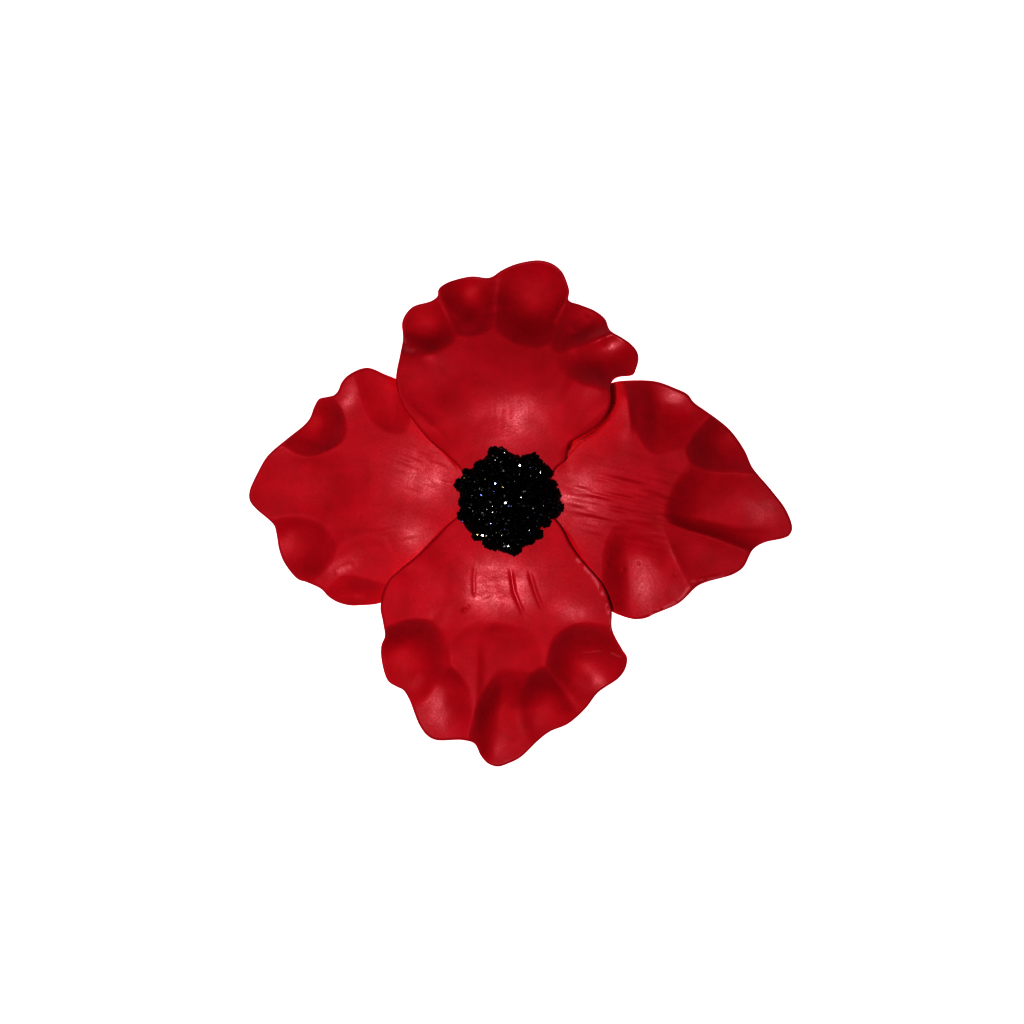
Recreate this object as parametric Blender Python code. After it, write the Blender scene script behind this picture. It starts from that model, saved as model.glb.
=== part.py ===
"""A hand-made poppy head: four pressed petals in two layers and a mound of black crystals."""

import math
import random

import bmesh
import bpy
import numpy as np
from mathutils import Euler, Vector

MM = 0.001

SHEET = 1.0  # thickness of a petal away from its root, mm
LOWER_ROOT = 5.2  # top of the lower petals' roots, which stand on the table, mm
UPPER_ROOT = 6.5  # top of the upper petals' roots, which lie on the lower ones, mm
ROOT_RADIUS = 7.0  # the lower roots are thick inside this radius, mm
ROOT_TAPER = 14.0  # and have thinned to the sheet at this one, mm
WANDER = 0.8  # how far the presses stray from true ovals, mm
SECTORS = 80
RINGS = (0.18, 0.34, 0.48, 0.6, 0.71, 0.8, 0.88, 0.95, 1.0)

MOUND_FOOT = 6.85  # underside of the mound over the upper petals, mm
MOUND_LOW_FOOT = 5.55  # its underside over the lower petals, to the left and right, mm
MOUND_HEIGHT = 3.6
CRYSTAL_COUNT = 150
CRYSTAL_SIZE = (1.25, 1.9)  # edge of a crystal, mm
SEED = 7

# Outlines run round each petal, in mm, with the mound's axis at 0, 0.
TOP_OUTLINE = (
    (-8, 5.5), (-13, 10), (-15.5, 13), (-17.5, 16), (-18.6, 20), (-17.9, 24.5), (-17.5, 27),
    (-17.6, 30), (-16, 32.3), (-12.7, 33.4), (-11.7, 34.2), (-11.6, 35.2), (-10.5, 36.2),
    (-8.5, 37), (-6, 37.5), (-3, 37.3), (-1, 38.5), (1, 39.4), (3.5, 40), (5.5, 40.1),
    (7.5, 39.5), (9, 38.2), (9.8, 36.5), (10.2, 35), (10.1, 33.5), (12, 32.8), (14.5, 31.8),
    (16.2, 30.4), (17, 28.5), (19, 27.2), (20.3, 26.3), (21.4, 25), (21.7, 23.8), (21.3, 22),
    (20.8, 21), (18, 20.5), (17.1, 19.5), (17, 16), (16, 13.8), (14, 11.8), (12, 10.6),
    (10.2, 9.5), (9.6, 6.8), (8, 5.5), (6.8, 3.2), (5, 1.2), (2, 0.35), (-2, 0.35), (-5, 1.2),
    (-6.8, 3.2),
)
BOTTOM_OUTLINE = (
    (-9.5, -3.5), (-12, -6), (-15, -9), (-18, -11.5), (-20, -13.5), (-21.2, -17.5), (-20.8, -20),
    (-20.5, -22.5), (-21.1, -24), (-21.1, -26.5), (-20, -30), (-18.5, -31), (-17.5, -31.5),
    (-16.5, -33), (-14.8, -37.2), (-13.5, -39), (-12, -39.8), (-7.5, -39.8), (-5.6, -40.4),
    (-4.5, -42.5), (-3.3, -43.8), (-1.7, -44.3), (0, -43.8), (2, -42.8), (5, -40), (7, -38.5),
    (10, -37.2), (13, -34.5), (15, -32), (18.5, -29.5), (19.6, -27.8), (19.8, -26), (19, -24.7),
    (17.3, -21.3), (17.2, -18), (15.8, -14), (14.2, -12), (12, -9.5), (10.3, -7), (9, -4.5),
    (8.3, -3.5), (6.5, -1.8), (4, -0.6), (1, -0.35), (-3, -0.35), (-6.5, -1.5),
)
LEFT_OUTLINE = (
    (-19.2, 20.6), (-20.5, 21.1), (-23.5, 22.2), (-26.5, 21), (-27.7, 19.7), (-28.3, 18.3),
    (-29, 17.6), (-30.3, 17.3), (-31.5, 17), (-32.3, 15.8), (-33.3, 13.5), (-37, 10.2),
    (-40, 7.5), (-41.5, 5), (-43, 1.5), (-42.9, 0), (-42, -1.2), (-39, -4), (-38.6, -5.5),
    (-38.2, -8), (-37.3, -10.3), (-35, -13), (-33.5, -13.5), (-31, -14.7), (-30, -15.8),
    (-28.5, -16.8), (-26.5, -17.4), (-24.5, -17.4), (-21.3, -17), (-19, -15.6), (-16.5, -12.5),
    (-13, -9), (-9, -6.8), (-5, -6), (-1, -5.8), (1.6, -3.6), (2.2, 0), (1.6, 3.6), (-1, 5.8),
    (-5, 6.2),
    (-9, 8.5), (-12, 12), (-15, 17), (-17, 19.6),
)
RIGHT_OUTLINE = (
    (19, 20), (24.5, 20), (28, 18.8), (30, 17.8), (31, 16.5), (33, 15), (37, 12), (39.5, 8.5),
    (40.8, 5.5), (43.7, 2), (46.3, -1.5), (47.3, -4.5), (46.8, -5.7), (45.8, -6.2), (43, -6.8),
    (41.5, -7.5), (40.6, -8.3), (39.2, -11), (37.5, -12.2), (33, -13.5), (31.5, -14.2),
    (28.5, -17), (24.5, -18.8), (23, -19.5), (21, -19.7), (18.3, -18.9), (16, -17.5),
    (14, -14.5), (11, -10.5), (8, -7.8), (5.4, -6.3), (3.4, -3.6), (2.8, 0), (3.4, 3.6),
    (5.4, 6.3), (8, 7.8), (11, 10.5), (13.5, 14.5), (15.5, 18.2), (17, 19.6),
)
MOUND_OUTLINE = (
    (9.2, 0.4), (9.5, -1.2), (9.2, -3), (7.4, -3.6), (6.2, -4.8), (5.7, -6.4), (4, -7.8),
    (1.8, -9.1), (-0.5, -9.6), (-2.6, -8.4), (-5, -7.1), (-7, -5.8), (-8.3, -4), (-8.6, -1),
    (-8.9, 1), (-8.8, 3), (-7.6, 5.2), (-5, 7.3), (-3.2, 8.9), (0, 9.1), (2, 8.2), (5.5, 7.8),
    (7.3, 5.7), (8.1, 2.2),
)


def press(x, y, back, out, left, right, heading, depth, fade):
    """One press of a thumb: its deepest point, how far it reaches each way from there, and which way is out."""
    return {
        "deepest": (x, y),
        "reach": (back, out),
        "sides": (left, right),
        "heading": math.radians(heading),
        "depth": depth,
        "fade": fade,
    }


TOP_PRESSES = (
    press(-14.2, 29.4, 6.5, 8, 8, 7.5, 110, 3.4, 1.8),
    press(-14.8, 18.6, 7, 11, 9, 9, 45, 1.8, 2),
    press(-6.2, 34.2, 7.4, 9, 6.5, 7.2, 72, 4.2, 1.7),
    press(4.2, 34.6, 9.6, 12, 9.2, 8.4, 85, 4.1, 1.7),
    press(13.6, 31.2, 9.5, 11, 7, 6.8, 45, 4.2, 1.7),
    press(17.4, 23.8, 10, 9, 6.2, 5.4, 5, 3.4, 1.8),
)
BOTTOM_PRESSES = (
    press(-22, -15, 12, 8, 9, 7, 190, 1.9, 2),
    press(-17.2, -25.4, 7, 14, 10, 6.6, 228, 4.4, 1.5),
    press(-11.5, -31, 4.5, 18, 6.8, 7.5, 252, 2, 1.4),
    press(-1.2, -35.2, 9.5, 22, 9.5, 4.6, 266, 4.4, 1.6),
    press(6.6, -33.8, 6.4, 14, 7.2, 9.5, 290, 5, 1.4),
    press(13.2, -26.8, 7, 16, 7.6, 7, 292, 4.4, 1.4),
    press(-1.5, -27, 7.5, 10, 7, 8, 270, 1.3, 1.6),
)
LEFT_PRESSES = (
    press(-19.5, 19, 8, 12, 5.2, 4, 100, 1.6, 1.3),
    press(-31.6, 13.2, 5.8, 12, 7, 4.3, 140, 4, 1.4),
    press(-35, 1.5, 13, 14, 12, 12, 180, 2, 2),
    press(-36.4, -7.2, 8.5, 14, 7.4, 6, 205, 3.4, 1.5),
    press(-24.8, -17, 4.6, 12, 7.6, 6.6, 268, 2.8, 1.4),
)
RIGHT_PRESSES = (
    press(23.6, 17.6, 9, 12, 4.2, 6, 86, 3.6, 1.4),
    press(27.4, 17.4, 8, 12, 4.5, 4.6, 86, 3.6, 1.4),
    press(37.2, 10.4, 8.6, 16, 6.2, 7.4, 26, 5, 1.35),
    press(33.6, -3.2, 7.8, 24, 11, 3.2, -12, 3.5, 1.7),
    press(34, -9.8, 10, 12, 5.6, 7.5, -30, 1.4, 1.7),
    press(19.8, -11, 8.5, 34, 10, 4.6, -84, 2.4, 1.6),
)


def clear_scene():
    for obj in list(bpy.data.objects):
        bpy.data.objects.remove(obj, do_unlink=True)


def material(name, colour, roughness):
    made = bpy.data.materials.new(name)
    made.use_nodes = True
    shader = made.node_tree.nodes["Principled BSDF"]
    shader.inputs["Base Color"].default_value = (*colour, 1.0)
    shader.inputs["Roughness"].default_value = roughness
    shader.inputs["Metallic"].default_value = 0.0
    return made


def rise(start, end, value):
    """0 before start, 1 after end, and a smooth climb between."""
    share = np.clip((value - start) / (end - start), 0, 1)
    return share * share * (3 - 2 * share)


def soft_positive(value, softness):
    """The value where it is positive and 0 elsewhere, with the corner rounded."""
    return softness * np.logaddexp(0, value / softness)


def past_line(x, y, start, end):
    """Distance past a line, positive on the left of the way from start to end."""
    run = end[0] - start[0]
    climb = end[1] - start[1]
    return (run * (y - start[1]) - climb * (x - start[0])) / math.hypot(run, climb)


def smooth_noise(x, y, size, seed):
    """Soft random hills between -1 and 1, each about that size."""
    table = np.random.default_rng(seed).uniform(-1, 1, (97, 97))
    u = x / size + 40.37
    v = y / size + 31.71
    i = np.floor(u).astype(int)
    j = np.floor(v).astype(int)
    fu = rise(0, 1, u - i)
    fv = rise(0, 1, v - j)
    low = table[i % 97, j % 97] * (1 - fu) + table[(i + 1) % 97, j % 97] * fu
    high = table[i % 97, (j + 1) % 97] * (1 - fu) + table[(i + 1) % 97, (j + 1) % 97] * fu
    return low * (1 - fv) + high * fv


def pressed_depth(x, y, presses, seed):
    """How far the presses push the sheet down. They open out to the rim, and crests stay between them."""
    wx = x + WANDER * smooth_noise(x, y, 6.5, seed)
    wy = y + WANDER * smooth_noise(x, y, 6.5, seed + 1)
    total = 0
    for one in presses:
        cos = math.cos(one["heading"])
        sin = math.sin(one["heading"])
        dx = wx - one["deepest"][0]
        dy = wy - one["deepest"][1]
        u = dx * cos + dy * sin
        v = dy * cos - dx * sin
        back, out = one["reach"]
        left, right = one["sides"]
        width = np.where(v > 0, left, right) * (1 + 0.05 * soft_positive(u, 1.0))
        off = (np.minimum(u, 0) / back) ** 2 + (v / width) ** 2
        deep = one["depth"] * (1 - 0.85 * rise(0, out, u))
        total = total + (deep * np.clip(1 - off, 0, 1) ** one["fade"]) ** 6
    return total ** (1 / 6)


def curled_rim(radius, start, bend):
    """The outer part cups up again, ever steeper."""
    return bend * soft_positive(radius - start, 1.0) ** 2


def turned_edge(x, y, start, end, slope):
    """The fall of a side edge that is folded down past a line, away from the root."""
    outside = rise(9.8, 13.5, np.hypot(x, y))
    return outside * slope * soft_positive(past_line(x, y, start, end), 0.2)


def tucked_edge(x, y, start, end, fall):
    """The fall of a lower petal's edge where it goes under an upper petal."""
    outside = rise(9, 12, np.hypot(x, y))
    return outside * fall * rise(-0.8, 2.4, past_line(x, y, start, end))


def top_height(x, y):
    radius = np.hypot(x, y)
    z = UPPER_ROOT + 2.3 * rise(6, 20, radius) - 0.22 * soft_positive(y - 16, 2.5)
    z = z + curled_rim(radius, 29, 0.03)
    z = z + 2.0 * rise(6, 17.5, x) * rise(7, 15, y) * (1 - rise(20, 31, y))
    z = z + 0.9 * rise(7, 15, -x) * rise(8, 14, y) * (1 - rise(20, 28, y))
    z = z - rise(9, 14, radius) * pressed_depth(x, y, TOP_PRESSES, 21)
    z = z - turned_edge(x, y, (-8.5, 7.4), (-17.4, 16.2), 0.4)
    return z - turned_edge(x, y, (11.6, 11.1), (7.2, 6.8), 0.6)


def bottom_height(x, y):
    radius = np.hypot(x, y)
    z = UPPER_ROOT + 1.0 * rise(6, 19, radius) - 0.05 * soft_positive(-y - 18, 2.5)
    z = z + curled_rim(radius, 33, 0.008)
    z = z + 1.7 * rise(6, 17, -x) * rise(6, 12, -y) * (1 - rise(17, 25, -y))
    z = z - rise(9, 13, radius) * pressed_depth(x, y, BOTTOM_PRESSES, 31)
    return z - turned_edge(x, y, (-19.5, -12.2), (-11.3, -6.3), 0.3)


def left_height(x, y):
    radius = np.hypot(x, y)
    z = LOWER_ROOT + 0.9 * rise(6, 23, radius) + curled_rim(radius, 27, 0.008)
    z = z - rise(9, 13, radius) * pressed_depth(x, y, LEFT_PRESSES, 41)
    z = z - tucked_edge(x, y, (-20, 21), (-8, 5.5), 2.3)
    return z - tucked_edge(x, y, (-8.6, -3.0), (-21, -16.5), 3.4)


def right_height(x, y):
    radius = np.hypot(x, y)
    z = LOWER_ROOT + 1.0 * rise(6, 23, radius) + curled_rim(radius, 30, 0.006)
    z = z - rise(9, 13, radius) * pressed_depth(x, y, RIGHT_PRESSES, 51)
    z = z - tucked_edge(x, y, (8, 5), (18.6, 18.8), 2.9)
    return z - tucked_edge(x, y, (17.5, -19), (8.5, -3.5), 2.4)


def lower_thickness(radius):
    """A lower petal is thick at its root, where it stands, and thins to the sheet."""
    return LOWER_ROOT + (SHEET - LOWER_ROOT) * rise(ROOT_RADIUS, ROOT_TAPER, radius)


def upper_thickness(radius):
    return SHEET + 0 * radius


def curve_point(before, start, end, after, share):
    """A point between start and end on a centripetal Catmull-Rom curve."""
    knots = [0.0]
    for a, b in ((before, start), (start, end), (end, after)):
        knots.append(knots[-1] + math.sqrt((b - a).length))
    t = knots[1] + share * (knots[2] - knots[1])

    def between(a, b, first, last):
        return a.lerp(b, (t - knots[first]) / (knots[last] - knots[first]))

    one = between(before, start, 0, 1)
    two = between(start, end, 1, 2)
    three = between(end, after, 2, 3)
    return between(between(one, two, 0, 2), between(two, three, 1, 3), 1, 2)


def smooth_outline(points, count):
    """The closed smooth curve through the points, as count points spaced evenly along it."""
    corners = [Vector(point) for point in points]
    total = len(corners)
    dense = []
    for i in range(total):
        run = [corners[(i + step) % total] for step in (-1, 0, 1, 2)]
        dense.extend(curve_point(*run, part / 10) for part in range(10))
    dense = np.array(dense + dense[:1])
    travelled = np.concatenate(([0], np.cumsum(np.hypot(*np.diff(dense, axis=0).T))))
    wanted = np.linspace(0, travelled[-1], count, endpoint=False)
    return np.column_stack([np.interp(wanted, travelled, dense[:, axis]) for axis in (0, 1)])


def sheet_faces(sectors, rings):
    """Triangles of a disc of rings round a middle point, whose index is 0."""
    faces = [(0, 1 + i, 1 + (i + 1) % sectors) for i in range(sectors)]
    for ring in range(rings - 1):
        inner = 1 + ring * sectors
        outer = inner + sectors
        for i in range(sectors):
            j = (i + 1) % sectors
            faces.append((inner + i, outer + i, outer + j))
            faces.append((inner + i, outer + j, inner + j))
    return faces


def petal(name, outline, middle, height, thickness, look):
    """A closed sheet between its top and its underside, which share one pattern of triangles."""
    rim = smooth_outline(outline, SECTORS)
    if np.sum(rim[:, 0] * np.roll(rim[:, 1], -1) - rim[:, 1] * np.roll(rim[:, 0], -1)) < 0:
        rim = rim[::-1]
    flat = np.concatenate([[middle]] + [middle + share * (rim - middle) for share in RINGS])
    x, y = flat.T
    top = height(x, y)
    under = top - thickness(np.hypot(x, y))
    pattern = sheet_faces(SECTORS, len(RINGS))
    count = len(flat)
    last = count - SECTORS
    faces = list(pattern)
    faces.extend((a + count, c + count, b + count) for a, b, c in pattern)
    for i in range(SECTORS):
        a = last + i
        b = last + (i + 1) % SECTORS
        faces.append((a, a + count, b + count))
        faces.append((a, b + count, b))
    points = np.concatenate([np.column_stack([x, y, top]), np.column_stack([x, y, under])])
    mesh = bpy.data.meshes.new(name)
    mesh.from_pydata((points * MM).tolist(), [], faces)
    mesh.materials.append(look)
    mesh.shade_smooth()
    mesh.set_sharp_from_angle(angle=math.radians(50))
    obj = bpy.data.objects.new(name, mesh)
    bpy.context.scene.collection.objects.link(obj)
    return obj


def mound_foot(x, y):
    """Lowest level that the mound may reach: the lower petals' tops lie open to the left and right."""
    open_side = abs(x) > 7.9 and abs(y) < 2.6
    return MOUND_LOW_FOOT if open_side else MOUND_FOOT


def dome(share):
    """Height of the mound over its foot, at a share of its outline."""
    return MOUND_HEIGHT * math.sqrt(max(0.0, 1.06 - share * share))


def mound_core(name, outline, look):
    """The low heap that the crystals stand on, flat underneath."""
    sectors = 28
    rim = smooth_outline(outline, sectors)[::-1]
    shares = (0.35, 0.65, 0.84)
    points = [(0, 0, MOUND_FOOT + dome(0) - 0.3)]
    for share in shares:
        level = MOUND_FOOT + dome(share) - 0.5
        points.extend((x * share, y * share, level) for x, y in rim)
    points.extend((x * shares[-1], y * shares[-1], MOUND_FOOT) for x, y in rim)
    points.append((0, 0, MOUND_FOOT))
    faces = sheet_faces(sectors, len(shares) + 1)
    foot = 1 + len(shares) * sectors
    for i in range(sectors):
        faces.append((len(points) - 1, foot + (i + 1) % sectors, foot + i))
    mesh = bpy.data.meshes.new(name)
    mesh.from_pydata((np.array(points) * MM).tolist(), [], faces)
    mesh.materials.append(look)
    obj = bpy.data.objects.new(name, mesh)
    bpy.context.scene.collection.objects.link(obj)
    return obj


def crystal(size, place, spin, group):
    """A blunt cube of sugar, kept over the petals below it."""
    shape = bmesh.new()
    bmesh.ops.create_cube(shape, size=size)
    for corner in shape.verts:
        corner.co = spin @ corner.co + Vector(place)
        foot = mound_foot(corner.co.x, corner.co.y)
        corner.co.z = max(corner.co.z, foot)
        corner.co *= MM
    mesh = bpy.data.meshes.new("crystal")
    shape.to_mesh(mesh)
    shape.free()
    group.objects.link(bpy.data.objects.new("crystal", mesh))


def scatter_crystals(outline, group):
    """Crystals on a sunflower spiral over the mound, each turned at random and sunk in by a third."""
    draw = random.Random(SEED)
    rim = smooth_outline(outline, 72)
    reach = np.hypot(*rim.T)
    bearing = np.arctan2(rim[:, 1], rim[:, 0])
    order = np.argsort(bearing)
    for i in range(CRYSTAL_COUNT):
        share = math.sqrt((i + 0.5) / CRYSTAL_COUNT)
        angle = math.radians(137.508) * i + draw.uniform(-0.12, 0.12)
        wrapped = math.remainder(angle, math.tau)
        size = draw.uniform(*CRYSTAL_SIZE)
        edge = np.interp(wrapped, bearing[order], reach[order], period=math.tau) - 0.55 * size
        level = MOUND_FOOT + dome(share) - 0.22 * size + draw.uniform(-0.25, 0.25)
        spin = Euler([draw.uniform(0, math.tau) for _ in range(3)]).to_matrix()
        place = (edge * share * math.cos(angle), edge * share * math.sin(angle), level)
        crystal(size, place, spin, group)


def skirt_crystals(group):
    """Larger crystals low on the left and right, where the heap spills onto the lower petals."""
    draw = random.Random(SEED + 1)
    for side, middle in ((-1, 0.6), (1, -0.4)):
        for step in range(5):
            y = middle + (step - 2) * 0.95
            size = draw.uniform(1.3, 1.6)
            spin = Euler([draw.uniform(0, math.tau) for _ in range(3)]).to_matrix()
            crystal(size, (side * 8.15, y, MOUND_FOOT - 0.1), spin, group)


def keep_main_body(obj):
    """Removes loose scraps and the walls of sealed hollows, leaving the largest closed surface."""
    shape = bmesh.new()
    shape.from_mesh(obj.data)
    bmesh.ops.triangulate(shape, faces=shape.faces)
    shape.verts.ensure_lookup_table()
    left = set(shape.verts)
    bodies = []
    while left:
        stack = [left.pop()]
        body = set(stack)
        while stack:
            for edge in stack.pop().link_edges:
                for vert in edge.verts:
                    if vert in left:
                        left.remove(vert)
                        body.add(vert)
                        stack.append(vert)
        bodies.append(body)
    bodies.sort(key=len)
    for body in bodies[:-1]:
        bmesh.ops.delete(shape, geom=list(body), context="VERTS")
    shape.to_mesh(obj.data)
    shape.free()


def centre(name, look):
    core = mound_core(name, MOUND_OUTLINE, look)
    group = bpy.data.collections.new("crystals")
    bpy.context.scene.collection.children.link(group)
    scatter_crystals(MOUND_OUTLINE, group)
    skirt_crystals(group)
    union = core.modifiers.new("fuse", "BOOLEAN")
    union.operation = "UNION"
    union.operand_type = "COLLECTION"
    union.collection = group
    union.solver = "EXACT"
    graph = bpy.context.evaluated_depsgraph_get()
    fused = bpy.data.meshes.new_from_object(core.evaluated_get(graph))
    core.modifiers.clear()
    core.data = fused
    for piece in list(group.objects):
        bpy.data.objects.remove(piece, do_unlink=True)
    bpy.data.collections.remove(group)
    keep_main_body(core)
    return core


def main():
    clear_scene()
    red = (0.36, 0.004, 0.012)
    petal("petal_left", LEFT_OUTLINE, (-22, 2), left_height, lower_thickness,
          material("left petal paste", red, 0.48))
    petal("petal_right", RIGHT_OUTLINE, (24, 1), right_height, lower_thickness,
          material("right petal paste", red, 0.48))
    petal("petal_top", TOP_OUTLINE, (0, 20), top_height, upper_thickness,
          material("top petal paste", red, 0.48))
    petal("petal_bottom", BOTTOM_OUTLINE, (-1, -22), bottom_height, upper_thickness,
          material("bottom petal paste", red, 0.48))
    centre("crystal_centre", material("black crystal", (0.004, 0.004, 0.006), 0.12))


main()
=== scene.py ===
import math
import random

import bmesh
import bpy
import numpy as np
from mathutils import Euler, Matrix, Vector


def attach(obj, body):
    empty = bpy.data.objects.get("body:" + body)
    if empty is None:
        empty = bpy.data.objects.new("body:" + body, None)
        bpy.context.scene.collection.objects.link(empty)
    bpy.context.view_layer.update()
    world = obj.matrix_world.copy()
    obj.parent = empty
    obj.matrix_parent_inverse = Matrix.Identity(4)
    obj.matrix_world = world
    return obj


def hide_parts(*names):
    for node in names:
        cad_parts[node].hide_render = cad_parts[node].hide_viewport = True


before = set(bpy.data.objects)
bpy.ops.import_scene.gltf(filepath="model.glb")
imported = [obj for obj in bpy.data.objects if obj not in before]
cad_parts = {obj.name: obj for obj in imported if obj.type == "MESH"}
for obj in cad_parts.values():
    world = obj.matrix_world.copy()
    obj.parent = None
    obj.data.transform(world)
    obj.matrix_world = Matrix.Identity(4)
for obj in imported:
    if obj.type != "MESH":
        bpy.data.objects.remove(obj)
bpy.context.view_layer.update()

mm = 0.001  # every length below is in millimetres until it meets this


def rise(start, end, value):  # 0 before start, 1 after end, smooth between
    share = np.clip((value - start) / (end - start), 0, 1)
    return share * share * (3 - 2 * share)


def softPositive(value, softness):  # the value where positive, with a rounded corner
    return softness * np.logaddexp(0, value / softness)


def pastLine(x, y, start, end):  # distance past a line, positive on its left
    run = end[0] - start[0]
    climb = end[1] - start[1]
    return (run * (y - start[1]) - climb * (x - start[0])) / math.hypot(run, climb)


noise = {
    "cells": 97,  # the random table repeats after this many
    "shift": (40.37, 31.71),  # cells, so that no seam of the table crosses the flower
}


def smoothNoise(x, y, size, seed):  # soft random hills, -1 to 1, about that size
    cells = noise["cells"]
    table = np.random.default_rng(seed).uniform(-1, 1, (cells, cells))
    u = x / size + noise["shift"][0]
    v = y / size + noise["shift"][1]
    i = np.floor(u).astype(int)
    j = np.floor(v).astype(int)
    fu = rise(0, 1, u - i)
    fv = rise(0, 1, v - j)
    low = table[i % cells, j % cells] * (1 - fu) + table[(i + 1) % cells, j % cells] * fu
    high = table[i % cells, (j + 1) % cells] * (1 - fu) + table[(i + 1) % cells, (j + 1) % cells] * fu
    return low * (1 - fv) + high * fv


def turned(x, y, middle, degrees):  # coordinates along and across a direction
    cos = math.cos(math.radians(degrees))
    sin = math.sin(math.radians(degrees))
    dx = x - middle[0]
    dy = y - middle[1]
    return dx * cos + dy * sin, dy * cos - dx * sin


thumb = {
    "stray": 0.8, "strayOver": 6.5,  # mm that a press wanders from a true oval, and over what length
    "widening": 0.05,  # share that it widens by for each mm towards the rim
    "opening": 0.85,  # share of its depth that is gone where it leaves the petal
    "crispness": 6,  # how sharp a crest stays between two presses
}


def pressed(x, y, scoops, seed):  # thumb presses that open out to the rim, crests between
    wx = x + thumb["stray"] * smoothNoise(x, y, thumb["strayOver"], seed)
    wy = y + thumb["stray"] * smoothNoise(x, y, thumb["strayOver"], seed + 1)
    total = 0
    for mx, my, back, out, left, right, heading, depth, fade in scoops:
        u, v = turned(wx, wy, (mx, my), heading)
        width = np.where(v > 0, left, right) * (1 + thumb["widening"] * softPositive(u, 1.0))
        off = (np.minimum(u, 0) / back) ** 2 + (v / width) ** 2
        deep = depth * (1 - thumb["opening"] * rise(0, out, u))
        total = total + (deep * np.clip(1 - off, 0, 1) ** fade) ** thumb["crispness"]
    return total ** (1 / thumb["crispness"])


def alongPath(x, y, path):  # signed distance from a path (left is positive) and place along it
    best = np.full(np.shape(x), 1e9)
    side = np.zeros(np.shape(x))
    place = np.zeros(np.shape(x))
    lengths = [math.dist(a, b) for a, b in zip(path, path[1:])]
    travelled = 0
    for (ax, ay), (bx, by), length in zip(path, path[1:], lengths):
        share = np.clip(((x - ax) * (bx - ax) + (y - ay) * (by - ay)) / length**2, 0, 1)
        away = np.hypot(x - ax - share * (bx - ax), y - ay - share * (by - ay))
        nearer = away < best
        best = np.where(nearer, away, best)
        side = np.where(nearer, np.sign(pastLine(x, y, (ax, ay), (bx, by))), side)
        place = np.where(nearer, (travelled + share * length) / sum(lengths), place)
        travelled += length
    return best * side, place


def pathRidge(x, y, path, height, left, right):  # a crest, or a crease where height is negative
    away, place = alongPath(x, y, path)
    width = np.where(away > 0, left, right)
    fade = rise(0, 0.25, place) * rise(0, 0.25, 1 - place)  # over the first and last quarter
    return height * fade * np.exp(-((away / width) ** 2))


def curvePoint(before, start, end, after, share):  # centripetal Catmull-Rom
    knots = [0.0]
    for a, b in ((before, start), (start, end), (end, after)):
        knots.append(knots[-1] + math.sqrt((b - a).length))
    t = knots[1] + share * (knots[2] - knots[1])

    def between(a, b, first, last):
        return a.lerp(b, (t - knots[first]) / (knots[last] - knots[first]))

    one = between(before, start, 0, 1)
    two = between(start, end, 1, 2)
    three = between(end, after, 2, 3)
    return between(between(one, two, 0, 2), between(two, three, 1, 3), 1, 2)


def smoothOutline(points, count):  # evenly spaced points on the closed smooth curve, anticlockwise
    corners = [Vector(point) for point in points]
    parts = 10  # of the curve between two corners
    dense = []
    for i in range(len(corners)):
        run = [corners[(i + step) % len(corners)] for step in (-1, 0, 1, 2)]
        dense.extend(curvePoint(*run, part / parts) for part in range(parts))
    dense = np.array(dense + dense[:1])
    travelled = np.concatenate(([0], np.cumsum(np.hypot(*np.diff(dense, axis=0).T))))
    wanted = np.linspace(0, travelled[-1], count, endpoint=False)
    rim = np.column_stack([np.interp(wanted, travelled, dense[:, axis]) for axis in (0, 1)])
    turns = np.sum(rim[:, 0] * np.roll(rim[:, 1], -1) - rim[:, 1] * np.roll(rim[:, 0], -1))
    return rim if turns > 0 else rim[::-1]


def srgb(code):  # an sRGB hex value as a linear colour
    parts = [int(code[i : i + 2], 16) / 255 for i in (1, 3, 5)]
    return [c / 12.92 if c <= 0.04045 else ((c + 0.055) / 1.055) ** 2.4 for c in parts] + [1]


def newMaterial(name):
    made = bpy.data.materials.new(name)
    made.use_nodes = True
    return made, made.node_tree.nodes["Principled BSDF"]


def addNode(made, kind, settings, links):  # a node, its settings, and what feeds its sockets
    node = made.node_tree.nodes.new(kind)
    for key, value in settings.items():
        if key in node.inputs:
            node.inputs[key].default_value = value
        else:
            setattr(node, key, value)
    for key, source in links.items():
        made.node_tree.links.new(source, node.inputs[key])
    return node


def colourRamp(made, source, stops):
    node = addNode(made, "ShaderNodeValToRGB", {}, {"Fac": source})
    while len(node.color_ramp.elements) < len(stops):
        node.color_ramp.elements.new(0.5)
    for element, (place, colour) in zip(node.color_ramp.elements, stops):
        element.position = place
        element.color = colour
    return node


pasteLook = {
    "deep": "#bd0a2e",  # the paste's own red, in its darker clouds
    "full": "#c80f38",
    "dusty": "#d4707a",  # rubbed or chipped spots, dry and paler
    "satin": 0.68,  # roughness of the open skin
    "burnished": 0.38,  # and where fingers have polished it
    "ior": 1.45,
    "clouds": 0.22,  # of its tone, per mm
    "grain": 0.34, "poreDepth": 0.03,  # mm between the pores of the dried skin, and their depth
    "skin": 1.3, "waveDepth": 0.05,  # mm between its soft waves, and their depth
}


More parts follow.
